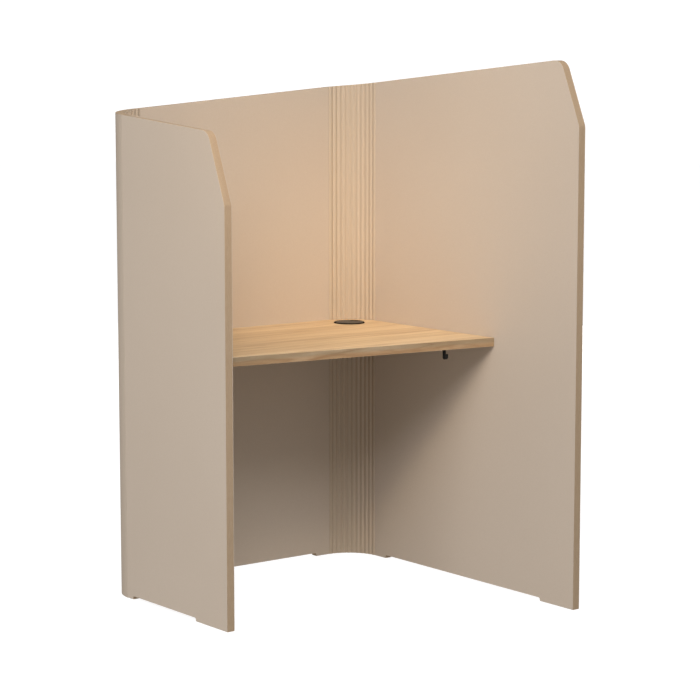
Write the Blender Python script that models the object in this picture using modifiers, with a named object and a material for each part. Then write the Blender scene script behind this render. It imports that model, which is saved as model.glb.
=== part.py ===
"""Study carrel: a privacy screen of 25 mm board that stands on edge and wraps round a desktop.

Seen from above the screen is a U, open to the front, with a short left arm and a long right arm.
Both back corners are bends of narrow ribs, with a shallow upright groove at every fold, and the top
edge climbs in one straight slant from the left arm's front to the right arm's front. The desktop
rests on three cleats, has a cable grommet in its right back corner and a bag hook under its front
edge.

Metres, +Z up, +X to the user's right, +Y towards the back. The origin is at the bottom centre.
"""

import math

import bmesh
import bpy
from mathutils import Matrix, Vector

# ---- Driving dimensions -------------------------------------------------------------------------

WIDTH = 0.935  # outside of the screen, left to right
RIGHT_DEPTH = 1.022  # outside, along the long right arm
LEFT_DEPTH = 0.630  # outside, along the short left arm
BOARD = 0.025  # finished thickness of the screen
FACING = 0.0012  # sheet glued on each face of the flat boards
GAP = 0.0003  # between touching pieces

LEFT_TOP = 1.3425  # height of the slanting top edge, carried out to the left front corner
RIGHT_TOP = 1.5440  # the same at the right front corner
CHAMFER_RUN = 0.076  # cut-off top front corners, along the top
CHAMFER_DROP = 0.187  # and down the front edge
CHAMFER_RADIUS = 0.038

RECESS = 0.010  # height of the cut-outs between the feet
RECESS_RADIUS = 0.006
LEFT_FRONT_FOOT = 0.151
RIGHT_FRONT_FOOT = 0.136
LEFT_HEEL = 0.030  # how far the corner feet run past the bends
BACK_HEEL = 0.051
RIGHT_HEEL = 0.053
FACING_LIFT = 0.001  # the face sheets stop short of the floor

FOLDS = 12  # in each bend, an equal turn at each one, with a groove in its inner face
RIB_PITCH = 0.01413  # between folds, on the inner face
GROOVE_MOUTH = 0.0058  # the grooves narrow from here
GROOVE_FLOOR = 0.0012  # to here, and go as deep as the facings' rebate
BEND_EASE = 0.0022  # the outer face turns over twice this length at each fold
BEND_LEG = 0.018  # flat length that the bend keeps beyond its last fold, under the facings
OUTER_SEAM = 0.0010  # the outer facings stop this far short of the bend

TONGUE_THICKNESS = 0.004
TONGUE_WIDTH = 0.024
TONGUE_SETBACK = 0.060  # from the floor and from the top edge

DESK_HEIGHT = 0.740  # to the top of the desktop
DESK_THICKNESS = 0.025
DESK_DEPTH_LEFT = 0.548
DESK_DEPTH_RIGHT = 0.656
DESK_CLEARANCE = 0.001

CLEAT_WIDTH = 0.022
CLEAT_HEIGHT = 0.025
SIDE_CLEAT_LENGTH = 0.340
BACK_CLEAT_LENGTH = 0.640
SIDE_SCREW_INSET = 0.060  # from a side cleat's ends
BACK_SCREW_INSET = 0.050
DESK_SCREW_STEP = 0.030  # the desk screws stand beside the wall screws

SCREW_LENGTH = 0.036
SCREW_SHANK = 0.0019  # radius
SCREW_HEAD = 0.0040  # radius
SCREW_HEAD_HEIGHT = 0.0022
HOLE_LEAD = 0.002  # a drill starts this far clear of the face

GROMMET_INSET = 0.1015  # the grommet's centre, from the right and back boards
GROMMET_FLANGE = 0.0475  # radius of the raised rim
GROMMET_RIM = 0.0035  # height of the rim above the desktop
GROMMET_TUBE = 0.0432  # radius of the tube that goes down the hole
GROMMET_BORE = 0.0405
GROMMET_LENGTH = 0.022  # of the tube, below the top of the desktop
MOULDED_EASE = 0.0008  # small bevels on the grommet's edges
CAP_RADIUS = 0.0437
CAP_SEAT = 0.0013  # height of the ledge that the cap sits on
CAP_TOP = 0.0030
CAP_SKIRT_OUTER = 0.0400
CAP_SKIRT_INNER = 0.0385
CAP_SKIRT_LENGTH = 0.010
NOTCH_WIDTH = 0.036
NOTCH_CORNER = 0.010
NOTCH_START = 0.023  # the notch's inner end, from the cap's centre
NOTCH_ANGLE = math.radians(20)  # the notch points this far round from +X towards +Y
BOSS_RADIUS = 0.0032  # the shutter turns on this boss under the cap
BOSS_LENGTH = 0.0024
PIN_RADIUS = 0.0014  # the shutter's pivot pin, pushed up into the boss
PIN_DEPTH = 0.0030
PIN_HEAD = 0.0064  # radius
PIN_HEAD_HEIGHT = 0.0016
SHUTTER_RADIUS = 0.0372
SHUTTER_THICKNESS = 0.0015
SHUTTER_HUB = 0.008
SHUTTER_SPAN = math.radians(76)
HUB_SPAN = math.radians(260)
SHUTTER_PARKED = math.radians(74)  # how far the open shutter stands from the notch

HOOK_FROM_RIGHT = 0.158  # the hook's middle, from the right board
HOOK_BACK = 0.018  # the hook's leg, behind the desktop's front edge
HOOK_WIDTH = 0.010
HOOK_THICKNESS = 0.003
HOOK_PLATE = 0.038
HOOK_DROP = 0.0285
HOOK_BEND = 0.005  # centre-line radius of the hook's curl
HOOK_PRONG = 0.009
HOOK_SCREWS = (0.014, 0.030)  # their places behind the leg
HOOK_SCREW_LENGTH = 0.016

# ---- Derived places -----------------------------------------------------------------------------

TURN = math.radians(90) / FOLDS
RIBS = FOLDS - 1
BEND_REACH = RIB_PITCH * sum(math.cos(TURN * (i + 1)) for i in range(RIBS))
BEND_INRADIUS = RIB_PITCH / (2 * math.tan(TURN / 2))  # the circle that the inner rib faces touch
MID_PITCH = RIB_PITCH + BOARD * math.tan(TURN / 2)
SKIN = FACING + GAP
CORE = BOARD - 2 * SKIN

INNER_X = WIDTH / 2 - BOARD
BACK_Y = RIGHT_DEPTH / 2
INNER_Y = BACK_Y - BOARD
LEFT_FRONT_Y = BACK_Y - LEFT_DEPTH

# Along the screen's middle, from the left arm's front edge round to the right arm's front edge
LEFT_BEND = LEFT_DEPTH - BOARD - BEND_REACH
BACK_START = LEFT_BEND + RIBS * MID_PITCH
BACK_END = BACK_START + 2 * (INNER_X - BEND_REACH)
RIGHT_START = BACK_END + RIBS * MID_PITCH
SHEET_LENGTH = RIGHT_START + RIGHT_DEPTH - BOARD - BEND_REACH

GROMMET_X = INNER_X - GROMMET_INSET
GROMMET_Y = INNER_Y - GROMMET_INSET
DESK_UNDERSIDE = DESK_HEIGHT - DESK_THICKNESS


def top_height(along):
    """Height of the screen's slanting top edge, at a distance along the screen."""
    return LEFT_TOP + (RIGHT_TOP - LEFT_TOP) * along / SHEET_LENGTH


def desk_front(x):
    """The desktop's slanting front edge: its y at x."""
    share = (x + INNER_X) / (2 * INNER_X)
    return INNER_Y - DESK_DEPTH_LEFT - share * (DESK_DEPTH_RIGHT - DESK_DEPTH_LEFT)


# ---- Scene, collections and materials -----------------------------------------------------------

for old in list(bpy.data.objects):
    bpy.data.objects.remove(old)

carrel = bpy.data.collections.new("study_carrel")
cutters = bpy.data.collections.new("cutters")
for collection in (carrel, cutters):
    bpy.context.scene.collection.children.link(collection)


def principled(name, colour, roughness, metallic=0.0):
    """A plain Principled material."""
    material = bpy.data.materials.new(name)
    material.use_nodes = True
    shader = material.node_tree.nodes["Principled BSDF"]
    shader.inputs["Base Color"].default_value = (*colour, 1.0)
    shader.inputs["Roughness"].default_value = roughness
    shader.inputs["Metallic"].default_value = metallic
    return material


RAW_BOARD = principled("raw_board", (0.61, 0.44, 0.29), 0.65)
BEIGE_SHEET = principled("beige_sheet", (0.52, 0.43, 0.34), 0.8)
OAK = principled("oak", (0.72, 0.48, 0.26), 0.5)
BEECH = principled("beech", (0.60, 0.42, 0.25), 0.6)
ZINC = principled("zinc", (0.62, 0.62, 0.60), 0.35, 1.0)
DARK_PLASTIC = principled("dark_plastic", (0.045, 0.038, 0.032), 0.45)
BLACK_STEEL = principled("black_steel", (0.01, 0.01, 0.01), 0.4)


# ---- Builders -----------------------------------------------------------------------------------


def add_object(name, mesh, material, placement=None, collection=carrel):
    """An object for a mesh, in its collection, with its material and its place."""
    piece = bpy.data.objects.new(name, mesh)
    collection.objects.link(piece)
    if material:
        mesh.materials.append(material)
    if placement:
        piece.matrix_world = placement
    return piece


def plate(name, outline, thickness, placement, material, holes=()):
    """A flat plate: an outline in local x and y, as thick as stated, centred on local z = 0."""
    curve = bpy.data.curves.new(name, "CURVE")
    curve.dimensions = "2D"
    curve.fill_mode = "BOTH"
    curve.extrude = thickness / 2
    for loop in (outline, *holes):
        spline = curve.splines.new("POLY")
        spline.points.add(len(loop) - 1)
        for point, (x, y) in zip(spline.points, loop):
            point.co = (x, y, 0, 1)
        spline.use_cyclic_u = True
    guide = bpy.data.objects.new(name + "_outline", curve)
    cutters.objects.link(guide)
    depsgraph = bpy.context.evaluated_depsgraph_get()
    mesh = bpy.data.meshes.new_from_object(guide.evaluated_get(depsgraph))
    bpy.data.objects.remove(guide)
    solid = bmesh.new()
    solid.from_mesh(mesh)
    bmesh.ops.remove_doubles(solid, verts=solid.verts, dist=1e-6)
    bmesh.ops.recalc_face_normals(solid, faces=solid.faces)
    solid.to_mesh(mesh)
    solid.free()
    return add_object(name, mesh, material, placement)


def box(name, low, high, material):
    """A box between two corners, with its origin at its middle."""
    low, high = Vector(low), Vector(high)
    mesh = bpy.data.meshes.new(name)
    solid = bmesh.new()
    bmesh.ops.create_cube(solid, size=1.0)
    bmesh.ops.scale(solid, vec=high - low, verts=solid.verts)
    solid.to_mesh(mesh)
    solid.free()
    return add_object(name, mesh, material, Matrix.Translation((low + high) / 2))


def turned(name, profile, placement, material, steps=48):
    """A turned piece: a profile of (radius, height) points, run down its outer side."""
    closed = profile[0][0] > 0
    mesh = bpy.data.meshes.new(name)
    line = bmesh.new()
    points = [line.verts.new((radius, 0, height)) for radius, height in profile]
    for first, second in zip(points, points[1:]):
        line.edges.new((first, second))
    if closed:
        line.edges.new((points[-1], points[0]))
    line.to_mesh(mesh)
    line.free()
    piece = add_object(name, mesh, material, placement)
    screw = piece.modifiers.new("Turn", "SCREW")
    screw.steps = screw.render_steps = steps
    screw.use_merge_vertices = True
    screw.merge_threshold = 1e-5
    return piece


def cut(piece, cutter):
    """Take the cutter's shape out of the piece."""
    boolean = piece.modifiers.new("Cut", "BOOLEAN")
    boolean.operation = "DIFFERENCE"
    boolean.solver = "EXACT"
    boolean.object = cutter


def as_cutter(piece):
    """Move a solid to the cutters' collection."""
    carrel.objects.unlink(piece)
    cutters.objects.link(piece)
    piece.hide_render = True
    piece.display_type = "WIRE"
    return piece


def drill(piece, holes, sides=12):
    """Drill round holes: each is a mouth, the direction it goes in, a length and a radius."""
    solid = bmesh.new()
    for mouth, direction, length, radius in holes:
        direction = Vector(direction)
        middle = Vector(mouth) + direction * length / 2
        turn = direction.to_track_quat("Z", "Y").to_matrix().to_4x4()
        bmesh.ops.create_cone(
            solid,
            cap_ends=True,
            segments=sides,
            radius1=radius,
            radius2=radius,
            depth=length,
            matrix=Matrix.Translation(middle) @ turn,
        )
    mesh = bpy.data.meshes.new(piece.name + "_drill")
    solid.to_mesh(mesh)
    solid.free()
    cut(piece, as_cutter(add_object(piece.name + "_drill", mesh, None)))


def arc(centre, radius, start, sweep, steps):
    """Points along an arc from an angle, through a sweep, both ends included."""
    angles = [start + sweep * step / steps for step in range(steps + 1)]
    return [Vector(centre) + radius * Vector((math.cos(a), math.sin(a))) for a in angles]


def circle(centre, radius, sides):
    """Points round a circle."""
    return arc(centre, radius, 0, math.tau, sides)[:-1]


def rounded(corners, steps=8):
    """The closed outline through corners (x, y, radius), each one rounded to its radius."""
    outline = []
    for i, (x, y, radius) in enumerate(corners):
        corner = Vector((x, y))
        if not radius:
            outline.append(corner)
            continue
        before = (Vector(corners[i - 1][:2]) - corner).normalized()
        after = (Vector(corners[(i + 1) % len(corners)][:2]) - corner).normalized()
        half = before.angle(after) / 2
        centre = corner + (before + after).normalized() * radius / math.sin(half)
        first = corner + before * radius / math.tan(half) - centre
        last = corner + after * radius / math.tan(half) - centre
        start = math.atan2(first.y, first.x)
        sweep = (math.atan2(last.y, last.x) - start + math.pi) % math.tau - math.pi
        outline += arc(centre, radius, start, sweep, steps)
    return outline


def upright(start, along, inward_shift=0.0):
    """Placement of an upright plate: local x runs along it, y up, and z into the carrel."""
    along = Vector(along)
    inward = along.cross(Vector((0, 0, 1)))
    turn = Matrix((along, Vector((0, 0, 1)), inward)).transposed().to_4x4()
    return Matrix.Translation(Vector(start) + inward * inward_shift) @ turn


# ---- Screen: flat boards and their facings ------------------------------------------------------


def flat_outline(start, end, recess, floor):
    """Outline of a stretch of the screen, from start to end along it, with x from its start."""
    low, high = recess
    corners = [
        (start, floor, 0),
        (low, floor, 0),
        (low, RECESS, RECESS_RADIUS),
        (high, RECESS, RECESS_RADIUS),
        (high, floor, 0),
        (end, floor, 0),
    ]
    if end == SHEET_LENGTH:
        corners.append((end, top_height(end) - CHAMFER_DROP, CHAMFER_RADIUS))
        corners.append((end - CHAMFER_RUN, top_height(end - CHAMFER_RUN), CHAMFER_RADIUS))
    else:
        corners.append((end, top_height(end), 0))
    if start == 0:
        corners.append((CHAMFER_RUN, top_height(CHAMFER_RUN), CHAMFER_RADIUS))
        corners.append((0, top_height(0) - CHAMFER_DROP, CHAMFER_RADIUS))
    else:
        corners.append((start, top_height(start), 0))
    return [(x - start, y) for x, y in rounded(corners)]


def flat_side(side, origin, along, stretch, recess):
    """One flat board with a facing on each face. The stretch runs between folds or front edges."""
    first, last = stretch
    joint = BEND_LEG + GAP
    core_start = first + joint if first else 0
    core_end = last if last == SHEET_LENGTH else last - joint

    def placed(start, shift):
        return upright(Vector(origin) + Vector(along) * (start - first), along, shift)

    outline = flat_outline(core_start, core_end, recess, 0.0)
    board = plate(side + "_board", outline, CORE, placed(core_start, 0), RAW_BOARD)
    facings = []
    for face, sign, setback in (("inner", 1, GROOVE_FLOOR / 2), ("outer", -1, OUTER_SEAM)):
        seam = setback + GAP
        sheet_start = first + seam if first else 0
        sheet_end = last if last == SHEET_LENGTH else last - seam
        outline = flat_outline(sheet_start, sheet_end, recess, FACING_LIFT)
        shift = sign * (BOARD - FACING) / 2
        name = f"{side}_{face}_facing"
        facings.append(plate(name, outline, FACING, placed(sheet_start, shift), BEIGE_SHEET))
    return board, facings[0]


MIDDLE_X = WIDTH / 2 - BOARD / 2
MIDDLE_Y = BACK_Y - BOARD / 2

left_board, left_facing = flat_side(
    "left",
    (-MIDDLE_X, LEFT_FRONT_Y, 0),
    (0, 1, 0),
    (0, LEFT_BEND),
    (LEFT_FRONT_FOOT, LEFT_BEND - LEFT_HEEL),
)
back_board, back_facing = flat_side(
    "back",
    (BEND_REACH - INNER_X, MIDDLE_Y, 0),
    (1, 0, 0),
    (BACK_START, BACK_END),
    (BACK_START + BACK_HEEL, BACK_END - BACK_HEEL),
)
right_board, right_facing = flat_side(
    "right",
    (MIDDLE_X, INNER_Y - BEND_REACH, 0),
    (0, -1, 0),
    (RIGHT_START, SHEET_LENGTH),
    (RIGHT_START + RIGHT_HEEL, SHEET_LENGTH - RIGHT_FRONT_FOOT),
)


# ---- Screen: folded bends -----------------------------------------------------------------------


def heading(turns):
    """Direction along the bend after a number of turns to the right, starting along local +x."""
    return Vector((math.cos(TURN * turns), -math.sin(TURN * turns)))


def outward(turns):
    """Direction out of the carrel, square to that heading."""
    return heading(turns).orthogonal()


def bend_outline():
    """Plan of a bend: local x enters along the first board, y points out of the carrel.

    The origin is at the first fold on the inner face.
    """
    folds = [Vector((0, 0))]
    for rib in range(1, FOLDS):
        folds.append(folds[-1] + RIB_PITCH * heading(rib))
    first, last = (folds[0], 0), (folds[-1], FOLDS)

    def point(end, along, out):
        place, turns = end
        return place + along * heading(turns) + out * outward(turns)

    outer = [point(first, -BEND_LEG, BOARD - SKIN), point(first, -OUTER_SEAM, BOARD - SKIN)]
    outer.append(point(first, -OUTER_SEAM, BOARD))
    for i, fold in enumerate(folds):
        corner = fold + outward(i + 0.5) * BOARD / math.cos(TURN / 2)
        outer.append(corner - BEND_EASE * heading(i))
        outer.append(corner + BEND_EASE * heading(i + 1))
    outer.append(point(last, OUTER_SEAM, BOARD))
    outer += [point(last, OUTER_SEAM, BOARD - SKIN), point(last, BEND_LEG, BOARD - SKIN)]

    inner = [point(first, -BEND_LEG, SKIN)]
    for rib in range(1, FOLDS):
        start, end = (folds[rib - 1], rib), (folds[rib], rib)
        inner += [point(start, GROOVE_FLOOR / 2, SKIN), point(start, GROOVE_MOUTH / 2, 0)]
        inner += [point(end, -GROOVE_MOUTH / 2, 0), point(end, -GROOVE_FLOOR / 2, SKIN)]
    inner.append(point(last, BEND_LEG, SKIN))
    return outer + inner[::-1]


def folded_bend(name, first_fold, entry_angle, along_at_fold):
    """A bend, with its top edge climbing evenly with the angle round it."""
    turn = Matrix.Rotation(entry_angle, 4, "Z")
    piece = plate(name, bend_outline(), 1.0, Matrix.Translation(first_fold) @ turn, BEIGE_SHEET)
    centre = Vector((-RIB_PITCH / 2, -BEND_INRADIUS))
    for vertex in piece.data.vertices:
        if vertex.co.z < 0:
            vertex.co.z = 0
            continue
        x, y = vertex.co.xy - centre
        if x < 0:
            along = x
        elif y < 0:
            along = FOLDS * MID_PITCH - y
        else:
            along = MID_PITCH * math.atan2(x, y) / TURN
        vertex.co.z = top_height(along_at_fold + along - MID_PITCH / 2)
    return piece


left_bend = folded_bend(
    "left_bend", (-INNER_X, INNER_Y - BEND_REACH, 0), math.radians(90), LEFT_BEND
)
right_bend = folded_bend("right_bend", (INNER_X - BEND_REACH, INNER_Y, 0), 0.0, BACK_END)


# ---- Screen: loose tongues ----------------------------------------------------------------------


def tongue(name, joint, along, distance, pieces):
    """A tongue in a blind slot cut in the two pieces that meet at a joint."""
    top = top_height(distance) - TONGUE_SETBACK
    along = Vector(along)
    across = Vector((along.y, along.x, 0))
    joint = Vector(joint)

    def block(label, clearance):
        half = along * (TONGUE_WIDTH / 2 + clearance) + across * (TONGUE_THICKNESS / 2 + clearance)
        low = joint - half + Vector((0, 0, TONGUE_SETBACK - clearance))
        high = joint + half + Vector((0, 0, top + clearance))
        return box(label, low, high, BEECH)

    block(name, 0.0)
    slot = as_cutter(block(name + "_slot", GAP))
    for piece in pieces:
        cut(piece, slot)


SIDE_JOINT_Y = INNER_Y - BEND_REACH - BEND_LEG - GAP / 2
BACK_JOINT_X = INNER_X - BEND_REACH - BEND_LEG - GAP / 2
X_AXIS, Y_AXIS = (1, 0, 0), (0, 1, 0)
for name, joint, along, distance, pieces in (
    ("left_tongue", (-MIDDLE_X, SIDE_JOINT_Y), Y_AXIS, LEFT_BEND, (left_board, left_bend)),
    ("back_left_tongue", (-BACK_JOINT_X, MIDDLE_Y), X_AXIS, BACK_START, (left_bend, back_board)),
    ("back_right_tongue", (BACK_JOINT_X, MIDDLE_Y), X_AXIS, BACK_END, (back_board, right_bend)),
    ("right_tongue", (MIDDLE_X, SIDE_JOINT_Y), Y_AXIS, RIGHT_START, (right_bend, right_board)),
):
    tongue(name, (*joint, 0), along, distance, pieces)


# ---- Desktop ------------------------------------------------------------------------------------

desk_side = INNER_X - DESK_CLEARANCE
desk_back = INNER_Y - DESK_CLEARANCE
desk_corner = BEND_INRADIUS - DESK_CLEARANCE
desktop = plate(
    "desktop",
    rounded(
        [
            (-desk_side, desk_front(-desk_side), 0),
            (desk_side, desk_front(desk_side), 0),
            (desk_side, desk_back, desk_corner),
            (-desk_side, desk_back, desk_corner),
        ],
        steps=16,
    ),
    DESK_THICKNESS,
    Matrix.Translation((0, 0, DESK_HEIGHT - DESK_THICKNESS / 2)),
    OAK,
    holes=[circle((GROMMET_X, GROMMET_Y), GROMMET_TUBE + GAP, 48)],
)


# ---- Fasteners ----------------------------------------------------------------------------------


def fastener(name, seat, direction, length):
    """A pan-head screw: its head stands on the seat, its shank points along the direction."""
    crown = SCREW_HEAD_HEIGHT + GAP
    taper = SCREW_HEAD - SCREW_SHANK  # the head's flat top is this much smaller
    profile = [
        (0, crown),
        (SCREW_HEAD - taper, crown),
        (SCREW_HEAD, GAP),
        (SCREW_SHANK, GAP),
        (SCREW_SHANK, 2 * SCREW_SHANK - length),
        (0, -length),
    ]
    turn = (-Vector(direction)).to_track_quat("Z", "Y").to_matrix().to_4x4()
    turned(name, profile, Matrix.Translation(seat) @ turn, ZINC, steps=12)


def hole_for(seat, direction, length, shank=SCREW_SHANK):
    """The hole that a shank goes into."""
    direction = Vector(direction)
    mouth = Vector(seat) - direction * HOLE_LEAD
    return mouth, direction, length + HOLE_LEAD + GAP, shank + GAP


# ---- Cleats, with their screws into the wall and up into the desktop ----------------------------

desk_holes = []


def cleat(side, middle, along, into_wall, length, inset, count, wall_pieces):
    """A batten under the desktop, screwed to a wall and to the desktop."""
    middle, along, into_wall = Vector(middle), Vector(along), Vector(into_wall)
    up = Vector((0, 0, 1))
    across = Vector(map(abs, into_wall))
    half = along * length / 2 + across * CLEAT_WIDTH / 2 + up * CLEAT_HEIGHT / 2
    batten = box(side + "_cleat", middle - half, middle + half, BEECH)
    wall_holes, up_holes = [], []
    for i in range(count):
        offset = -length / 2 + inset + i * (length - 2 * inset) / (count - 1)
        seat = middle + along * offset - into_wall * CLEAT_WIDTH / 2
        fastener(f"{side}_wall_screw_{i + 1}", seat, into_wall, SCREW_LENGTH)
        wall_holes.append(hole_for(seat, into_wall, SCREW_LENGTH))
        seat = middle + along * (offset + DESK_SCREW_STEP) - up * CLEAT_HEIGHT / 2
        fastener(f"{side}_desk_screw_{i + 1}", seat, up, SCREW_LENGTH)
        up_holes.append(hole_for(seat, up, SCREW_LENGTH))
    drill(batten, wall_holes + up_holes)
    for piece in wall_pieces:
        drill(piece, wall_holes)
    desk_holes.extend(up_holes)


cleat_z = DESK_UNDERSIDE - GAP - CLEAT_HEIGHT / 2
side_cleat_x = INNER_X - GAP - CLEAT_WIDTH / 2
side_cleat_y = INNER_Y - BEND_REACH - GROOVE_MOUTH - SIDE_CLEAT_LENGTH / 2
back_cleat_y = INNER_Y - GAP - CLEAT_WIDTH / 2
for side, sign, pieces in (
    ("left", -1, (left_facing, left_board)),
    ("right", 1, (right_facing, right_board)),
):
    middle = (sign * side_cleat_x, side_cleat_y, cleat_z)
    outwards = (sign, 0, 0)
    cleat(side, middle, Y_AXIS, outwards, SIDE_CLEAT_LENGTH, SIDE_SCREW_INSET, 2, pieces)
cleat(
    "back",
    (0, back_cleat_y, cleat_z),
    X_AXIS,
    Y_AXIS,
    BACK_CLEAT_LENGTH,
    BACK_SCREW_INSET,
    3,
    (back_facing, back_board),
)


# ---- Bag hook -----------------------------------------------------------------------------------


def strip_outline(path, thickness):
    """The outline of a strip of even thickness along an open path."""
    left, right = [], []
    for i, here in enumerate(path):
        ahead = path[min(i + 1, len(path) - 1)] - path[max(i - 1, 0)]
        side = ahead.normalized().orthogonal() * thickness / 2
        left.append(here + side)
        right.append(here - side)
    return left + right[::-1]


def hook_path():
    """Centre line of the hook from the side: x towards the back, y up, 0 at the leg's top."""
    low = HOOK_BEND - HOOK_DROP + HOOK_THICKNESS
    quarter = math.radians(90)
    shoulder = arc((HOOK_BEND, -HOOK_BEND), HOOK_BEND, quarter, quarter, 6)
    curl = arc((-HOOK_BEND, low), HOOK_BEND, 0, -2 * quarter, 12)
    plate_end = Vector((HOOK_PLATE, 0))
    prong_end = Vector((-2 * HOOK_BEND, low + HOOK_PRONG))
    return [plate_end, *shoulder, *curl, prong_end]


hook_x = INNER_X - HOOK_FROM_RIGHT
hook_y = desk_front(hook_x) + HOOK_BACK
hook_z = DESK_UNDERSIDE - GAP - HOOK_THICKNESS / 2
bag_hook = plate(
    "bag_hook",
    strip_outline(hook_path(), HOOK_THICKNESS),
    HOOK_WIDTH,
    upright((hook_x, hook_y, hook_z), Y_AXIS),
    BLACK_STEEL,
)
hook_holes = []
for i, back in enumerate(HOOK_SCREWS):
    seat = Vector((hook_x, hook_y + back, hook_z - HOOK_THICKNESS / 2))
    fastener(f"hook_screw_{i + 1}", seat, (0, 0, 1), HOOK_SCREW_LENGTH)
    hook_holes.append(hole_for(seat, (0, 0, 1), HOOK_SCREW_LENGTH))
drill(bag_hook, hook_holes)
drill(desktop, desk_holes + hook_holes)


# ---- Cable grommet ------------------------------------------------------------------------------

grommet_place = Matrix.Translation((GROMMET_X, GROMMET_Y, DESK_HEIGHT))
turned(
    "grommet_sleeve",
    [
        (CAP_RADIUS + GAP, GROMMET_RIM),
        (GROMMET_FLANGE - 2 * MOULDED_EASE, GROMMET_RIM),
        (GROMMET_FLANGE, GROMMET_RIM - 2 * MOULDED_EASE),
        (GROMMET_FLANGE, GAP),
        (GROMMET_TUBE, GAP),
        (GROMMET_TUBE, -GROMMET_LENGTH),
        (GROMMET_BORE, -GROMMET_LENGTH),
        (GROMMET_BORE, CAP_SEAT),
        (CAP_RADIUS + GAP, CAP_SEAT),
    ],
    grommet_place,
    DARK_PLASTIC,
)

cap_under = CAP_SEAT + GAP
grommet_cap = turned(
    "grommet_cap",
    [
        (0, CAP_TOP),
        (CAP_RADIUS - MOULDED_EASE, CAP_TOP),
        (CAP_RADIUS, CAP_TOP - MOULDED_EASE),
        (CAP_RADIUS, cap_under),
        (CAP_SKIRT_OUTER, cap_under),
        (CAP_SKIRT_OUTER, cap_under - CAP_SKIRT_LENGTH),
        (CAP_SKIRT_INNER, cap_under - CAP_SKIRT_LENGTH),
        (CAP_SKIRT_INNER, cap_under),
        (BOSS_RADIUS, cap_under),
        (BOSS_RADIUS, cap_under - BOSS_LENGTH),
        (0, cap_under - BOSS_LENGTH),
    ],
    grommet_place,
    DARK_PLASTIC,
)
notch = plate(
    "cable_notch",
    rounded(
        [
            (NOTCH_START, -NOTCH_WIDTH / 2, NOTCH_CORNER),
            (GROMMET_FLANGE, -NOTCH_WIDTH / 2, 0),
            (GROMMET_FLANGE, NOTCH_WIDTH / 2, 0),
            (NOTCH_START, NOTCH_WIDTH / 2, NOTCH_CORNER),
        ]
    ),
    4 * CAP_SKIRT_LENGTH,
    grommet_place @ Matrix.Rotation(NOTCH_ANGLE, 4, "Z"),
    None,
)
cut(grommet_cap, as_cutter(notch))

boss_end = Vector((GROMMET_X, GROMMET_Y, DESK_HEIGHT + cap_under - BOSS_LENGTH))
drill(grommet_cap, [hole_for(boss_end, (0, 0, 1), PIN_DEPTH, PIN_RADIUS)])

blade = arc((0, 0), SHUTTER_RADIUS, -SHUTTER_SPAN / 2, SHUTTER_SPAN, 12)
hub = arc((0, 0), SHUTTER_HUB, (math.tau - HUB_SPAN) / 2, HUB_SPAN, 13)
shutter_z = cap_under - 2 * GAP - SHUTTER_THICKNESS / 2
plate(
    "grommet_shutter",
    blade + hub,
    SHUTTER_THICKNESS,
    grommet_place
    @ Matrix.Translation((0, 0, shutter_z))
    @ Matrix.Rotation(NOTCH_ANGLE + SHUTTER_PARKED, 4, "Z"),
    DARK_PLASTIC,
    holes=[circle((0, 0), BOSS_RADIUS + GAP, 24)],
)
turned(
    "shutter_pin",
    [
        (0, PIN_DEPTH - GAP),
        (PIN_RADIUS, PIN_DEPTH - GAP),
        (PIN_RADIUS, -GAP),
        (PIN_HEAD, -GAP),
        (PIN_HEAD, -GAP - PIN_HEAD_HEIGHT / 2),
        (BOSS_RADIUS, -GAP - PIN_HEAD_HEIGHT),
        (0, -GAP - PIN_HEAD_HEIGHT),
    ],
    Matrix.Translation(boss_end),
    DARK_PLASTIC,
    steps=24,
)
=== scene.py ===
"""Looks of the study carrel: surfaces, fine pieces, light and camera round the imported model.

Metres, +Z up, +X to the user's right, +Y towards the back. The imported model's origin is on the
floor, at the middle of the carrel.
"""

import math

import bmesh
import bpy
from mathutils import Matrix, Vector


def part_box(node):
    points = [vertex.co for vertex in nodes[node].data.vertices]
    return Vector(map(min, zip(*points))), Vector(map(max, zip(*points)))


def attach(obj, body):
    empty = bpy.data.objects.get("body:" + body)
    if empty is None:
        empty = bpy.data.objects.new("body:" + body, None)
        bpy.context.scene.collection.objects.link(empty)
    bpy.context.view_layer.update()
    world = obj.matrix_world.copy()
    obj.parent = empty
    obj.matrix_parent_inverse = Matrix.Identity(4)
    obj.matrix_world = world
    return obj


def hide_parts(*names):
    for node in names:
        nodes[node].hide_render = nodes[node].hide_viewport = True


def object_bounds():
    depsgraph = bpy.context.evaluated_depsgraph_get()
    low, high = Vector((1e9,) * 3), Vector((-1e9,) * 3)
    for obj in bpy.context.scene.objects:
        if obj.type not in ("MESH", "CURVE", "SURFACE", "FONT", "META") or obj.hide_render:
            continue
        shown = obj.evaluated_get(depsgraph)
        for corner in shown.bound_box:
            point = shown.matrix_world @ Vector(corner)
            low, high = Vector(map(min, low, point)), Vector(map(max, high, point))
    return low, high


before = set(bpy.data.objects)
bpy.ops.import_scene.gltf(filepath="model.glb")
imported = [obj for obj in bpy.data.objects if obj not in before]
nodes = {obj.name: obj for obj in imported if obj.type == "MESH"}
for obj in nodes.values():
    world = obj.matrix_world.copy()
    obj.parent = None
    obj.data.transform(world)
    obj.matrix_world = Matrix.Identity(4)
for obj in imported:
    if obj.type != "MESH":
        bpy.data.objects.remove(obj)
cad_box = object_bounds()

# ---- Driving dimensions -------------------------------------------------------------------------

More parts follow.
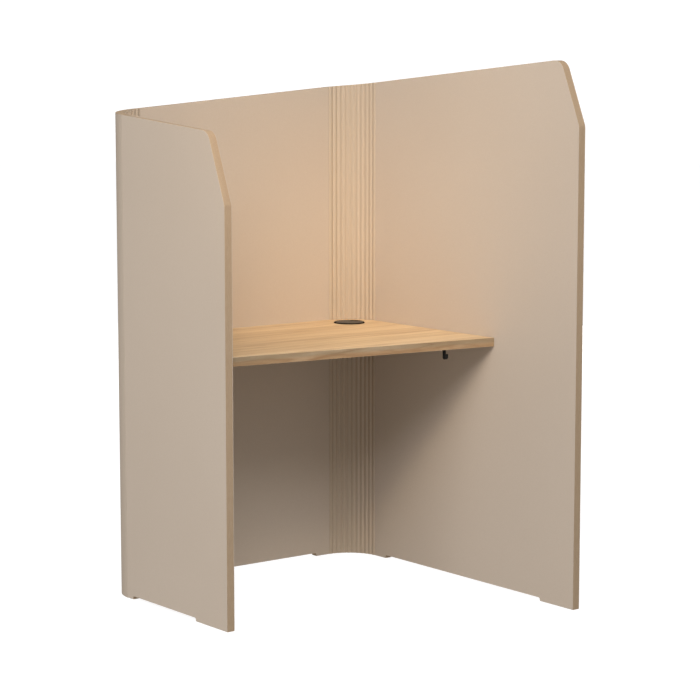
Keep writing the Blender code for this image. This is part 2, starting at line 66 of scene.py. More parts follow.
EASE_BOARD = 0.0007  # widths of the rubbed-off edges
EASE_FACING = 0.0004
EASE_RIB = 0.0003
EASE_DESK = 0.0012
EASE_CLEAT = 0.0010
EASE_HOOK = 0.0006
EASE_MOULDED = 0.0003
EASE_FROM = math.radians(40)  # edges that fold less than this aren't rubbed off
FLAT_WITHIN = math.radians(0.5)  # facets that fold less than this become one face
SMOOTH_WITHIN = math.radians(32)  # edges that fold less than this are shaded smooth
WELD_DISTANCE = 1e-5
WELD_DISTANCE_FINE = 1e-6

SCREW_SHANK = 0.0016  # radius of the thread's core
THREAD_RADIUS = 0.0020
THREAD_PITCH = 0.0014
THREAD_STEPS = 14
HEAD_HEIGHT = 0.0022
HEAD_ROUND = 0.0013
HEAD_STEPS = 32
RECESS_REACH = 0.0022  # half the width of the cross recess
RECESS_SLOT = 0.0007
RECESS_DEPTH = 0.0013
RECESS_TAPER = 0.6  # width of the cutter's lower end, as a share of its upper end's

SLEEVE_TUBE = 0.0432  # radius of the sleeve's tube, outside
SLEEVE_BORE = 0.0405  # and inside
SLEEVE_ROUND = 0.0006
RIM_SLOPE = 0.0028  # the rim's outer side leans in and up by this much
RIM_ROUND = 0.0005
CAP_RADIUS = 0.0437
CAP_ROUND = 0.0007
CAP_SEAT = 0.0013  # height of the sleeve's ledge over the desktop
SKIRT_OUTER = 0.0400  # radii of the cap's skirt
SKIRT_INNER = 0.0385
BOSS_RADIUS = 0.0032  # of the boss under the cap, round the shutter's pin
BOSS_LENGTH = 0.0024
PIN_HOLE = 0.0017
PIN_DEPTH = 0.0033
LIP_ROUND = 0.0004
FINE_ROUND = 0.0002
FIT_GAP = 0.0003  # between parts that fit together
TURNED_STEPS = 128

NOTCH_WIDTH = 0.036
NOTCH_CORNER = 0.010
NOTCH_START = 0.023  # from the cap's axis
NOTCH_ANGLE = math.radians(20)
NOTCH_CUT = 0.02  # the cutter's reach above and below the desktop's top

BEND_RADIUS = 0.1328  # of a bend's outer face
RIB_LEAN = 0.04  # sine of the angle between a flat rib's edge and the curve of the bend
RIB_SWELL = 0.75  # the same for the gently rounded rib that the shading shows

CAMERA_RANGE = 6.268  # over the floor, from the middle of the carrel
CAMERA_SIDE = math.radians(-37.48)
CAMERA_HEIGHT = 1.528
CAMERA_HEADING = math.radians(37.81)
CAMERA_TILT = math.radians(7.33)
CAMERA_LENS = 114.7
CAMERA_SENSOR = 36.0

STUDIO_RADIUS = 29.0
FLOOR_CLEARANCE = 0.0005
FLOOR_GLOW = 0.92
BACKDROP_GLOW = 1.0
ROOM_LIGHT = 0.39
ROOM_LIGHT_BELOW = 0.45  # off the white floor
ROOM_TINT = (0.98, 0.99, 1.0)
ROOM_TINT_BELOW = (1.0, 0.985, 0.96)
HORIZON_BLUR = 0.1  # one light runs into the other over this rise and fall

# ---- Materials: a short way to write node graphs ------------------------------------------------

MIX_SOCKETS = {"RGBA": (6, 7, 2), "VECTOR": (4, 5, 1)}  # the Mix node's two inputs and output

# Where a face starts to count as each of these, and where it counts in full.
LEVEL_FACE = (0.4, 0.7)  # the upward part of its normal
# The edge mask places painted highlights on the facings, board edges and desktop, and rubbed edges
# on the plastics.
EDGE_HIGHLIGHT_AND_WEAR = (0.99, 0.85)  # how far its normal agrees with the one rounded over the edge
FACING_AXIS = (-0.3, -0.5)  # the part of its normal that points away from the bend's axis


class Graph:
    """A node tree that leads into a target node, with helpers that each add one step to it."""

    def __init__(self, tree, target):
        self.tree = tree
        self.target = tree.nodes[target]

    def add(self, kind, inputs=(), **settings):
        """A node, with settings and inputs that are values or other nodes' sockets."""
        node = self.tree.nodes.new(kind)
        for key, value in settings.items():
            setattr(node, key, value)
        for key, value in dict(inputs).items():
            if isinstance(value, bpy.types.NodeSocket):
                self.tree.links.new(value, node.inputs[key])
            else:
                node.inputs[key].default_value = value
        return node

    def feed(self, name, socket):
        """Lead a socket into one of the target's inputs."""
        self.tree.links.new(socket, self.target.inputs[name])

    def spread(self, value, low, high, to_low=0.0, to_high=1.0):
        """The value's stretch from low to high, spread to another stretch and held there."""
        inputs = {"Value": value, "From Min": low, "From Max": high}
        inputs.update({"To Min": to_low, "To Max": to_high})
        return self.add("ShaderNodeMapRange", inputs).outputs["Result"]

    def line(self, value, middle, width):
        """1 where the value is at the middle, falling to 0 over the width on either side."""
        away = self.math("ABSOLUTE", self.math("SUBTRACT", value, middle))
        return self.spread(away, 0.0, width, 1.0, 0.0)

    def math(self, operation, first, second=0.0):
        """One step of arithmetic on one or two values."""
        node = self.add("ShaderNodeMath", {0: first, 1: second}, operation=operation)
        return node.outputs["Value"]

    def vector(self, operation, first, second=(0.0, 0.0, 0.0)):
        """The same on vectors, which gives a vector or, for a dot product, a value."""
        node = self.add("ShaderNodeVectorMath", {0: first, 1: second}, operation=operation)
        return node.outputs["Value" if operation == "DOT_PRODUCT" else "Vector"]

    def mix(self, amount, first, second, kind="RGBA", blend="MIX"):
        """One colour or vector over another."""
        first, second = (
            (*value, 1.0) if isinstance(value, tuple) else value for value in (first, second)
        )
        under, over, result = MIX_SOCKETS[kind]
        inputs = {0: amount, under: first, over: second}
        node = self.add("ShaderNodeMix", inputs, data_type=kind, blend_type=blend)
        return node.outputs[result]


class Surface(Graph):
    """A Principled material, whose patterns are laid out in its piece's own coordinates."""

    def __init__(self, name, **constants):
        self.material = bpy.data.materials.new(name)
        self.material.use_nodes = True
        super().__init__(self.material.node_tree, "Principled BSDF")
        for socket, value in constants.items():
            self.target.inputs[socket.replace("_", " ")].default_value = value
        self.place = self.add("ShaderNodeTexCoord").outputs["Object"]

    def noise(self, per_metre, detail=3.0, roughness=0.5, warp=0.0):
        """Noise with its own number of cycles to the metre along each axis, about 0 to 1."""
        scaled = self.add("ShaderNodeMapping", {"Vector": self.place, "Scale": per_metre})
        inputs = {
            "Vector": scaled.outputs["Vector"],
            "Scale": 1.0,
            "Detail": detail,
            "Roughness": roughness,
            "Distortion": warp,
        }
        return self.add("ShaderNodeTexNoise", inputs).outputs["Fac"]

    def facing_up(self):
        """1 on level faces and 0 on upright ones."""
        normal = self.add("ShaderNodeNewGeometry").outputs["True Normal"]
        upward = self.add("ShaderNodeSeparateXYZ", {"Vector": normal}).outputs["Z"]
        return self.spread(self.math("ABSOLUTE", upward), *LEVEL_FACE)

    def edge(self, radius):
        """1 along the piece's edges, out to about the radius: where painted edge highlights go,
        and rubbed edges on the plastics.
        """
        rounded_normal = self.add("ShaderNodeBevel", {"Radius": radius}, samples=4)
        normal = self.add("ShaderNodeNewGeometry").outputs["True Normal"]
        agree = self.vector("DOT_PRODUCT", rounded_normal.outputs["Normal"], normal)
        return self.spread(agree, *EDGE_HIGHLIGHT_AND_WEAR)

    def swollen_ribs(self, axis):
        """The normal of gently rounded ribs round an upright axis, and where faces face it."""
        offset = self.vector("SUBTRACT", self.place, axis)
        level = self.vector("MULTIPLY", offset, (1.0, 1.0, 0.0))
        outward = self.vector("NORMALIZE", level)
        along = self.vector("CROSS_PRODUCT", (0.0, 0.0, 1.0), outward)
        normal = self.add("ShaderNodeNewGeometry").outputs["Normal"]
        lean = self.vector("DOT_PRODUCT", normal, along)
        swell = self.spread(lean, -RIB_LEAN, RIB_LEAN, -RIB_SWELL, RIB_SWELL)
        shift = self.add("ShaderNodeVectorMath", {0: along, "Scale": swell}, operation="SCALE")
        rib = self.vector("SUBTRACT", shift.outputs["Vector"], outward)
        facing_axis = self.spread(self.vector("DOT_PRODUCT", normal, outward), *FACING_AXIS)
        chosen = self.mix(facing_axis, normal, rib, kind="VECTOR")
        return self.vector("NORMALIZE", chosen), facing_axis

    def colour(self, socket):
        self.feed("Base Color", socket)

    def roughness(self, socket):
        self.feed("Roughness", socket)

    def bump(self, *layers, normal=None):
        """Bumps laid over each other, each a height socket and its depth in metres."""
        for height, depth in layers:
            inputs = {"Height": height, "Distance": depth, "Strength": 1.0}
            if normal:
                inputs["Normal"] = normal
            normal = self.add("ShaderNodeBump", inputs).outputs["Normal"]
        self.feed("Normal", normal)


def even(scale):
    """The same number of cycles to the metre along every axis."""
    return (scale, scale, scale)


def facing_surface():
    """Matt beige sheet with a very fine fibrous texture."""
    s = Surface("beige_facing", Specular_IOR_Level=0.25, Sheen_Weight=0.06, Sheen_Roughness=0.6)
    cloud = s.noise(even(2.2), detail=4.0)
    fibre = s.mix(0.5, s.noise((900, 900, 130)), s.noise((130, 130, 900)))
    fleck = s.noise(even(520), detail=2.0)
    tone = s.mix(s.spread(cloud, 0.3, 0.7), (0.500, 0.412, 0.330), (0.518, 0.430, 0.347))
    tone = s.mix(s.spread(fibre, 0.35, 0.65, 0.0, 0.35), tone, (0.455, 0.365, 0.285))
    tone = s.mix(s.spread(fleck, 0.56, 0.72, 0.0, 0.25), tone, (0.600, 0.508, 0.420))
    # Painted highlight: the facing's edges are lightened towards pale beige.
    s.colour(s.mix(s.math("MULTIPLY", s.edge(0.0012), 0.35), tone, (0.600, 0.505, 0.400)))
    s.roughness(s.spread(fibre, 0.3, 0.7, 0.78, 0.92))
    s.bump((fibre, 0.00012), (fleck, 0.00008))
    return s.material


def bend_surface(axis_x, axis_y):
    """A bend: beige ribs whose faces look softly rounded, plain outer facets, warm cut ends."""
    s = Surface("faced_bend", Specular_IOR_Level=0.25)
    cloud = s.noise((3, 3, 1.2), detail=4.0)
    streak = s.noise((260, 260, 7), detail=3.0, roughness=0.6)
    pore = s.noise((1100, 1100, 160), detail=2.0)
    normal, inside = s.swollen_ribs((axis_x, axis_y, 0.0))
    ribs = s.mix(s.spread(cloud, 0.3, 0.7), (0.476, 0.380, 0.284), (0.496, 0.398, 0.300))
    ribs = s.mix(s.spread(streak, 0.35, 0.70, 0.0, 0.10), ribs, (0.430, 0.345, 0.265))
    plain = s.mix(s.spread(cloud, 0.3, 0.7), (0.487, 0.400, 0.318), (0.505, 0.417, 0.334))
    cut = s.mix(s.spread(pore, 0.3, 0.7), (0.425, 0.308, 0.202), (0.345, 0.240, 0.150))
    s.colour(s.mix(s.facing_up(), s.mix(inside, plain, ribs), cut))
    s.roughness(s.spread(pore, 0.3, 0.7, 0.68, 0.84))
    s.bump((pore, 0.00003), normal=normal)
    return s.material


def core_surface():
    """The cut edges of the flat boards: warm fibre board, in soft cloudy patches."""
    s = Surface("cut_board_edge", Specular_IOR_Level=0.3)
    cloud = s.noise((5, 5, 3), detail=4.0)
    fibre = s.noise((700, 700, 55), detail=3.0, roughness=0.65)
    speck = s.noise(even(900), detail=2.0)
    tone = s.mix(s.spread(cloud, 0.3, 0.7), (0.390, 0.280, 0.180), (0.425, 0.308, 0.202))
    tone = s.mix(s.spread(fibre, 0.35, 0.68, 0.0, 0.55), tone, (0.315, 0.215, 0.130))
    tone = s.mix(s.spread(speck, 0.60, 0.75, 0.0, 0.5), tone, (0.530, 0.410, 0.290))
    # Painted highlight: the board edges' corners are lightened towards a pale warm tone.
    s.colour(s.mix(s.math("MULTIPLY", s.edge(0.0020), 0.4), tone, (0.585, 0.435, 0.300)))
    s.roughness(s.spread(fibre, 0.3, 0.7, 0.58, 0.80))
    s.bump((fibre, 0.00018), (speck, 0.00010))
    return s.material


def oak_surface():
    """Light oak, its grain running from left to right through the whole thickness, with painted
    shade on its upright faces.
    """
    s = Surface("light_oak", Specular_IOR_Level=0.45)
    board = s.noise((0.35, 4.2, 4.2), detail=2.0, warp=0.4)
    band = s.noise((0.7, 17, 17), detail=3.0, warp=0.5)
    streak = s.noise((1.3, 40, 40), detail=4.0, roughness=0.6, warp=0.3)
    grain = s.noise((3.0, 120, 120), detail=4.0, roughness=0.6)
    pore = s.noise((38, 900, 900), detail=2.0)
    tone = s.mix(s.spread(board, 0.34, 0.66), (0.582, 0.400, 0.214), (0.680, 0.490, 0.283))
    tone = s.mix(s.spread(band, 0.36, 0.68, 0.0, 0.55), tone, (0.738, 0.552, 0.338))
    dark = (0.444, 0.266, 0.122)
    lines = ((board, 0.46, 0.014), (board, 0.57, 0.010), (band, 0.40, 0.020), (band, 0.53, 0.016))
    for value, middle, width in lines:
        tone = s.mix(s.math("MULTIPLY", s.line(value, middle, width), 0.60), tone, dark)
    tone = s.mix(s.spread(streak, 0.51, 0.62, 0.0, 0.60), tone, (0.500, 0.322, 0.165))
    tone = s.mix(s.spread(streak, 0.46, 0.36, 0.0, 0.50), tone, (0.810, 0.625, 0.405))
    tone = s.mix(s.spread(grain, 0.50, 0.72, 0.0, 0.32), tone, (0.504, 0.318, 0.156))
    tone = s.mix(s.spread(pore, 0.60, 0.72, 0.0, 0.35), tone, (0.396, 0.240, 0.119))
    # Painted shade: the desktop's upright faces are multiplied to about half their brightness,
    # greyer over their upper part and browner below; level faces keep their colour.
    low, high = (corner.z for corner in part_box("desktop"))
    height = s.add("ShaderNodeSeparateXYZ", {"Vector": s.place}).outputs["Z"]
    upper = s.spread(height, low + 0.35 * (high - low), low + 0.6 * (high - low))
    upright_face_shade = s.mix(upper, (0.57, 0.51, 0.48), (0.49, 0.50, 0.53))
    tint = s.mix(s.facing_up(), upright_face_shade, (1.0, 1.0, 1.0))
    tone = s.mix(1.0, tone, tint, blend="MULTIPLY")
    # Painted highlight: the desktop's edges are lightened towards pale oak.
    s.colour(s.mix(s.math("MULTIPLY", s.edge(0.0020), 0.3), tone, (0.780, 0.590, 0.385)))
    s.roughness(s.spread(grain, 0.3, 0.7, 0.38, 0.52))
    s.bump((grain, 0.00010), (pore, 0.00012))
    return s.material


def beech_surface():
    """Planed beech, with short brown flecks."""
    s = Surface("planed_beech", Specular_IOR_Level=0.35)
    cloud = s.noise(even(4), detail=3.0)
    grain = s.noise((90, 90, 260), detail=3.0)
    fleck = s.noise((420, 420, 1500), detail=1.0)
    tone = s.mix(s.spread(cloud, 0.3, 0.7), (0.545, 0.365, 0.205), (0.610, 0.425, 0.255))
    tone = s.mix(s.spread(grain, 0.4, 0.7, 0.0, 0.4), tone, (0.440, 0.275, 0.145))
    s.colour(s.mix(s.spread(fleck, 0.62, 0.70, 0.0, 0.6), tone, (0.350, 0.200, 0.100)))
    s.roughness(s.spread(grain, 0.3, 0.7, 0.50, 0.66))
    s.bump((grain, 0.00010))
    return s.material


def zinc_surface():
    """Zinc-plated steel, slightly uneven."""
    s = Surface("zinc_plate", Metallic=1.0)
    cloud = s.noise(even(300), detail=3.0)
    scratch = s.noise((2500, 2500, 300), detail=2.0)
    s.colour(s.mix(s.spread(cloud, 0.3, 0.7), (0.560, 0.565, 0.570), (0.660, 0.655, 0.635)))
    s.roughness(s.spread(scratch, 0.3, 0.7, 0.26, 0.44))
    s.bump((scratch, 0.00001))
    return s.material


def plastic_surface(name, dark, light, shine, matt):
    """Moulded plastic with a fine spark-eroded grain and rubbed edges."""
    s = Surface(name, Specular_IOR_Level=shine)
    cloud = s.noise(even(45), detail=3.0)
    grain = s.noise(even(2400), detail=2.0)
    tone = s.mix(s.spread(cloud, 0.3, 0.7), dark, light)
    rubbed = tuple(2.2 * part for part in light)
    s.colour(s.mix(s.math("MULTIPLY", s.edge(0.0008), 0.5), tone, rubbed))
    s.roughness(s.spread(grain, 0.3, 0.7, matt - 0.08, matt + 0.08))
    s.bump((grain, 0.00004))
    return s.material


def powder_coat_surface():
    """Black powder coat, with its slight orange peel."""
    s = Surface("black_powder_coat", Specular_IOR_Level=0.18)
    peel = s.noise(even(1300), detail=1.0)
    s.colour(s.mix(s.spread(peel, 0.3, 0.7), (0.006, 0.006, 0.006), (0.013, 0.013, 0.013)))
    s.roughness(s.spread(peel, 0.3, 0.7, 0.42, 0.55))
    s.bump((peel, 0.00006))
    return s.material


FACING = facing_surface()
CORE = core_surface()
OAK = oak_surface()
BEECH = beech_surface()
ZINC = zinc_surface()
SLEEVE_PLASTIC = plastic_surface(
    "dark_rim", (0.010, 0.008, 0.008), (0.016, 0.013, 0.013), shine=0.06, matt=0.72
)
CAP_PLASTIC = plastic_surface(
    "grey_cap", (0.060, 0.052, 0.042), (0.078, 0.068, 0.055), shine=0.45, matt=0.54
)
POWDER_COAT = powder_coat_surface()


# ---- CAD nodes that stay: their materials, and edges that are rubbed round ----------------------


def dress(node, material, ease):
    """Give a node its material and round its edges a little, without touching its mesh."""
    piece = nodes[node]
    piece.data.materials.clear()
    piece.data.materials.append(material)
    weld = piece.modifiers.new("Weld", "WELD")
    weld.merge_threshold = WELD_DISTANCE
    if not ease:
        return
    flat = piece.modifiers.new("Flat faces", "DECIMATE")
    flat.decimate_type = "DISSOLVE"
    flat.angle_limit = FLAT_WITHIN
    bevel = piece.modifiers.new("Rubbed edges", "BEVEL")
    bevel.width = ease
    bevel.segments = 2
    bevel.limit_method = "ANGLE"
    bevel.angle_limit = EASE_FROM
    bevel.use_clamp_overlap = True


for side in ("left", "back", "right"):
    dress(side + "_board", CORE, EASE_BOARD)
    dress(side + "_inner_facing", FACING, EASE_FACING)
    dress(side + "_outer_facing", FACING, EASE_FACING)
    dress(side + "_cleat", BEECH, EASE_CLEAT)
for node in ("left_tongue", "back_left_tongue", "back_right_tongue", "right_tongue"):
    dress(node, BEECH, 0.0)
for node, side in (("left_bend", -1), ("right_bend", 1)):
    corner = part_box(node)[1]
    half_width = max(abs(end.x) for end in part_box(node))
    axis_x = side * (half_width - BEND_RADIUS)
    dress(node, bend_surface(axis_x, corner.y - BEND_RADIUS), EASE_RIB)
dress("desktop", OAK, EASE_DESK)
dress("bag_hook", POWDER_COAT, EASE_HOOK)
dress("grommet_shutter", SLEEVE_PLASTIC, EASE_MOULDED)
dress("shutter_pin", SLEEVE_PLASTIC, 0.0)


# ---- Builders for the fine pieces ---------------------------------------------------------------


def rounded(corners, steps=5):
    """The closed outline through corners (x, y, radius), each one rounded to its radius."""
    outline = []
    for i, (x, y, radius) in enumerate(corners):
        corner = Vector((x, y))
        if not radius:
            outline.append(corner)
            continue
        before = (Vector(corners[i - 1][:2]) - corner).normalized()
        after = (Vector(corners[(i + 1) % len(corners)][:2]) - corner).normalized()
        half = before.angle(after) / 2
        centre = corner + (before + after).normalized() * radius / math.sin(half)
        first = corner + before * radius / math.tan(half) - centre
        last = corner + after * radius / math.tan(half) - centre
        start = math.atan2(first.y, first.x)
        sweep = (math.atan2(last.y, last.x) - start + math.pi) % math.tau - math.pi
        for step in range(steps + 1):
            angle = start + sweep * step / steps
            outline.append(centre + radius * Vector((math.cos(angle), math.sin(angle))))
    return outline


def placed(name, mesh):
    """A new object in the scene."""
    piece = bpy.data.objects.new(name, mesh)
    bpy.context.scene.collection.objects.link(piece)
    return piece


def shade(mesh):
    """Shade a mesh smooth, except over its sharp edges."""
    mesh.shade_smooth()
    mesh.set_sharp_from_angle(angle=SMOOTH_WITHIN)


def finished(name, solid, material):
    """An object from a bmesh, closed, smooth and with its sharp edges kept."""
    bmesh.ops.remove_doubles(solid, verts=solid.verts, dist=WELD_DISTANCE_FINE)
    bmesh.ops.recalc_face_normals(solid, faces=solid.faces)
    mesh = bpy.data.meshes.new(name)
    solid.to_mesh(mesh)
    solid.free()
    mesh.materials.append(material)
    shade(mesh)
    return placed(name, mesh)


def with_modifiers(piece):
    """A mesh of the piece as its modifiers make it."""
    depsgraph = bpy.context.evaluated_depsgraph_get()
    return bpy.data.meshes.new_from_object(piece.evaluated_get(depsgraph))


def turned(name, outline, material, steps=TURNED_STEPS):
    """A closed outline of (radius, height) points, or one that ends on the axis, spun round Z."""
    solid = bmesh.new()
    points = [solid.verts.new((max(radius, 0.0), 0, height)) for radius, height in outline]
    edges = []
    for i, point in enumerate(points):
        following = points[(i + 1) % len(points)]
        if point.co.x > 0 or following.co.x > 0:
            edges.append(solid.edges.new((point, following)))
    bmesh.ops.spin(
        solid,
        geom=points + edges,
        cent=(0, 0, 0),
        axis=(0, 0, 1),
        angle=math.tau,
        steps=steps,
        use_merge=True,
    )
    return finished(name, solid, material)


def prism(name, outline, low, high, taper=1.0):
    """An upright prism on an outline, its lower end scaled by the taper."""
    solid = bmesh.new()
    rings = []
    for height, scale in ((low, taper), (high, 1.0)):
        rings.append([solid.verts.new((x * scale, y * scale, height)) for x, y in outline])
    count = len(outline)
    for i in range(count):
        j = (i + 1) % count
        solid.faces.new((rings[0][i], rings[0][j], rings[1][j], rings[1][i]))
    solid.faces.new(rings[0])
    solid.faces.new(rings[1])
    return finished(name, solid, ZINC)


def carve(piece, cutter):
    """Cut a shape out of a piece for good, and remove the shape."""
    boolean = piece.modifiers.new("Cut", "BOOLEAN")
    boolean.operation = "DIFFERENCE"
    boolean.solver = "EXACT"
    boolean.object = cutter
    mesh = with_modifiers(piece)
    piece.modifiers.clear()
    piece.data = mesh
    shade(mesh)
    bpy.data.objects.remove(cutter)


# ---- Cable grommet ------------------------------------------------------------------------------

sleeve_low, sleeve_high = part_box("grommet_sleeve")
cap_low, cap_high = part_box("grommet_cap")
desk_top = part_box("desktop")[1].z
grommet_axis = (sleeve_low + sleeve_high) / 2
grommet_place = Matrix.Translation((grommet_axis.x, grommet_axis.y, desk_top))
flange = (sleeve_high.x - sleeve_low.x) / 2  # its radius

# Heights over the desktop's top.
rim_height = sleeve_high.z - desk_top
sleeve_end = sleeve_low.z - desk_top
cap_height = cap_high.z - desk_top
cap_under = CAP_SEAT + FIT_GAP
skirt_end = cap_low.z - desk_top
boss_end = cap_under - BOSS_LENGTH

sleeve = turned(
    "grommet_sleeve_moulding",
    rounded(
        [
            (CAP_RADIUS + FIT_GAP, rim_height, FINE_ROUND),
            (flange - RIM_SLOPE, rim_height, RIM_ROUND),
            (flange, rim_height - RIM_SLOPE, LIP_ROUND),
            (flange, FIT_GAP, FINE_ROUND),
            (SLEEVE_TUBE, FIT_GAP, 0),
            (SLEEVE_TUBE, sleeve_end, SLEEVE_ROUND),
            (SLEEVE_BORE, sleeve_end, SLEEVE_ROUND),
            (SLEEVE_BORE, CAP_SEAT, FINE_ROUND),
            (CAP_RADIUS + FIT_GAP, CAP_SEAT, 0),
        ]
    ),
    SLEEVE_PLASTIC,
)
cap = turned(
    "grommet_cap_moulding",
    rounded(
        [
            (0, cap_height, 0),
            (CAP_RADIUS, cap_height, CAP_ROUND),
            (CAP_RADIUS, cap_under, FINE_ROUND),
            (SKIRT_OUTER, cap_under, 0),
            (SKIRT_OUTER, skirt_end, LIP_ROUND),
            (SKIRT_INNER, skirt_end, LIP_ROUND),
            (SKIRT_INNER, cap_under, 0),
            (BOSS_RADIUS, cap_under, 0),
            (BOSS_RADIUS, boss_end, FINE_ROUND),
            (PIN_HOLE, boss_end, 0),
            (PIN_HOLE, boss_end + PIN_DEPTH, 0),
            (0, boss_end + PIN_DEPTH, 0),
        ]
    ),
    CAP_PLASTIC,
)
notch_outline = rounded(
    [
        (NOTCH_START, -NOTCH_WIDTH / 2, NOTCH_CORNER),
        (flange, -NOTCH_WIDTH / 2, 0),
        (flange, NOTCH_WIDTH / 2, 0),
        (NOTCH_START, NOTCH_WIDTH / 2, NOTCH_CORNER),
    ],
    steps=12,
)
notch = prism("notch", notch_outline, -NOTCH_CUT, NOTCH_CUT)
notch.matrix_world = Matrix.Rotation(NOTCH_ANGLE, 4, "Z")
carve(cap, notch)
for piece, node, body in ((sleeve, "grommet_sleeve", "carrel"), (cap, "grommet_cap", "cap")):
    piece.matrix_world = grommet_place
    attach(piece, body)
    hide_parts(node)


# ---- Screws -------------------------------------------------------------------------------------


def pan_head(radius):
    """A screw's head with its cross recess, on its seat at 0."""
    outline = [
        (0, HEAD_HEIGHT, 0),
        (radius, HEAD_HEIGHT, HEAD_ROUND),
        (radius, 0, FINE_ROUND),
        (0, 0, 0),
    ]
    head = turned("screw_head", rounded(outline), ZINC, steps=HEAD_STEPS)
    half, slot = RECESS_REACH, RECESS_SLOT / 2
    quarter = [(half, slot), (slot, slot), (slot, half)]
    cross = []
    for _ in range(4):
        cross += quarter
        quarter = [(-y, x) for x, y in quarter]
    low = HEAD_HEIGHT - RECESS_DEPTH
    carve(head, prism("recess", cross, low, 2 * HEAD_HEIGHT, taper=RECESS_TAPER))
    return head


def threaded_shank(turns):
    """A screw's thread, running down from its head's seat at 0."""
    profile = bmesh.new()
    points = [
        profile.verts.new((SCREW_SHANK, 0, 0)),
        profile.verts.new((THREAD_RADIUS, 0, -THREAD_PITCH / 2)),
        profile.verts.new((SCREW_SHANK, 0, -THREAD_PITCH)),
    ]
    for first, second in zip(points, points[1:]):
        profile.edges.new((first, second))
    line = bpy.data.meshes.new("thread")
    profile.to_mesh(line)
    profile.free()
    thread = placed("thread", line)
    screw = thread.modifiers.new("Thread", "SCREW")
    screw.steps = screw.render_steps = THREAD_STEPS
    screw.iterations = turns
    screw.screw_offset = -THREAD_PITCH
    screw.use_merge_vertices = True
    screw.merge_threshold = WELD_DISTANCE
    mesh = with_modifiers(thread)
    bpy.data.objects.remove(thread)
    return mesh


def screw_mesh(length, head_radius):
    """A pan-head screw with a cross recess, its shank along -Z from the head's seat at 0."""
    head = pan_head(head_radius)
    turns = int((length - THREAD_RADIUS * 2) / THREAD_PITCH)
    thread_end = -turns * THREAD_PITCH
    point = [(0, thread_end), (SCREW_SHANK, thread_end), (0, -length)]
    tip = turned("tip", point, ZINC, steps=THREAD_STEPS)
    whole = bmesh.new()
    for mesh in (head.data, threaded_shank(turns), tip.data):
        whole.from_mesh(mesh)
    piece = finished("screw", whole, ZINC)
    mesh = piece.data
    for helper in (head, tip, piece):
        bpy.data.objects.remove(helper)
    return mesh


DIRECTIONS = {
    "left_wall": Vector((-1, 0, 0)),
    "back_wall": Vector((0, 1, 0)),
    "right_wall": Vector((1, 0, 0)),
}
UP = Vector((0, 0, 1))
screw_meshes = {}
for node in sorted(nodes):
    if "screw" not in node:
        continue
    low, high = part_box(node)
    into = next((d for name, d in DIRECTIONS.items() if node.startswith(name)), UP)
    reach = abs((high - low).dot(into)) / 2
    length = 2 * reach - HEAD_HEIGHT - FIT_GAP
    key = round(length, 4)
    if key not in screw_meshes:
        screw_meshes[key] = screw_mesh(length, min(high - low) / 2)
    seat = (low + high) / 2 - into * (reach - HEAD_HEIGHT)
    piece = placed(node + "_turned", screw_meshes[key])
    turn = (-into).to_track_quat("Z", "Y").to_matrix().to_4x4()
    piece.matrix_world = Matrix.Translation(seat) @ turn
    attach(piece, "carrel")
    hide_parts(node)


# ---- Floor, light and camera --------------------------------------------------------------------


def studio_white(name, glow):
    """Translucent white sheet, lit from behind."""
    s = Surface(name, Roughness=0.9, Specular_IOR_Level=0.1, Emission_Strength=glow)
    s.target.inputs["Emission Color"].default_value = (1.0, 1.0, 1.0, 1.0)
    s.colour(s.mix(s.noise(even(0.8)), (0.19, 0.19, 0.19), (0.21, 0.21, 0.21)))
    return s.material


def stage_piece(name, solid, glow):
    """A piece of the studio, which shows but throws no light or shade on the carrel."""
    piece = finished(name, solid, studio_white(name, glow))
    piece.visible_diffuse = False
    piece.visible_glossy = False
    piece.visible_shadow = False
    return piece


floor_solid = bmesh.new()
bmesh.ops.create_grid(floor_solid, x_segments=1, y_segments=1, size=STUDIO_RADIUS)
floor = stage_piece("floor", floor_solid, FLOOR_GLOW)
floor.location.z = cad_box[0].z - FLOOR_CLEARANCE
dome_solid = bmesh.new()
bmesh.ops.create_uvsphere(dome_solid, u_segments=64, v_segments=32, radius=STUDIO_RADIUS)
stage_piece("backdrop", dome_solid, BACKDROP_GLOW)

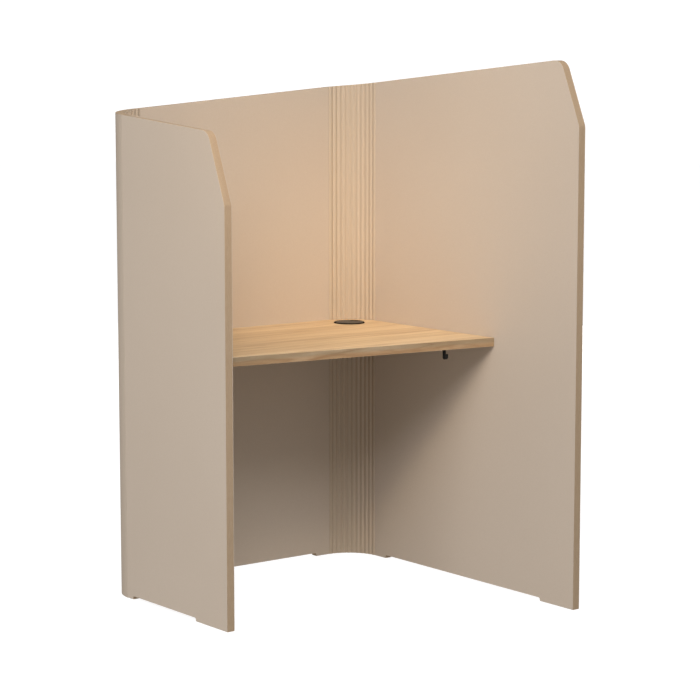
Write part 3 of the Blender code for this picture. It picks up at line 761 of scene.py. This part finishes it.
world = bpy.data.worlds.new("studio")
bpy.context.scene.world = world
world.use_nodes = True
room = Graph(world.node_tree, "Background")
direction = room.add("ShaderNodeTexCoord").outputs["Generated"]
rise = room.add("ShaderNodeSeparateXYZ", {"Vector": direction}).outputs["Z"]
above = room.spread(rise, -HORIZON_BLUR, HORIZON_BLUR)
room.feed("Color", room.mix(above, ROOM_TINT_BELOW, ROOM_TINT))
room.feed("Strength", room.spread(above, 0.0, 1.0, ROOM_LIGHT_BELOW, ROOM_LIGHT))


def softbox(name, place, aim, size, power, tint=(1.0, 1.0, 1.0), spread=180):
    """A large square light, aimed at a point, whose grid may narrow its spread."""
    light = bpy.data.lights.new(name, "AREA")
    light.shape = "SQUARE"
    light.size = size
    light.energy = power
    light.color = tint
    light.spread = math.radians(spread)
    lamp = placed(name, light)
    place, aim = Vector(place), Vector(aim)
    turn = (place - aim).to_track_quat("Z", "Y").to_matrix().to_4x4()
    lamp.matrix_world = Matrix.Translation(place) @ turn
    lamp.visible_camera = False


softbox("front_softbox", (-2.3, -3.5, 4.2), (0.1, 0.3, 1.0), 2.0, 168.0)
softbox("left_softbox", (-12.0, -4.0, 9.2), (0.3, 0.2, 1.0), 6.0, 780.0)
softbox("rear_softbox", (4.5, 5.0, 1.3), (0.0, 0.0, 0.8), 3.0, 190.0)
softbox("low_softbox", (-2.0, -0.55, 0.15), (-0.47, 0.15, 0.3), 0.9, 3.5)
softbox("top_softbox", (0.1, -0.1, 3.0), (0.1, 0.1, 0.74), 1.2, 1.2, (1.0, 0.92, 0.80))
softbox("desk_softbox", (-0.9, -1.5, 2.7), (0.36, 0.45, 0.82), 0.8, 1.5, (1.0, 0.74, 0.44), 26)

camera_data = bpy.data.cameras.new("camera")
camera_data.lens = CAMERA_LENS
camera_data.sensor_width = CAMERA_SENSOR
camera = placed("camera", camera_data)
camera.location = (
    CAMERA_RANGE * math.sin(CAMERA_SIDE),
    -CAMERA_RANGE * math.cos(CAMERA_SIDE),
    CAMERA_HEIGHT,
)
camera.rotation_euler = (math.radians(90) - CAMERA_TILT, 0.0, -CAMERA_HEADING)
bpy.context.scene.camera = camera
bpy.context.scene.view_settings.view_transform = "Standard"
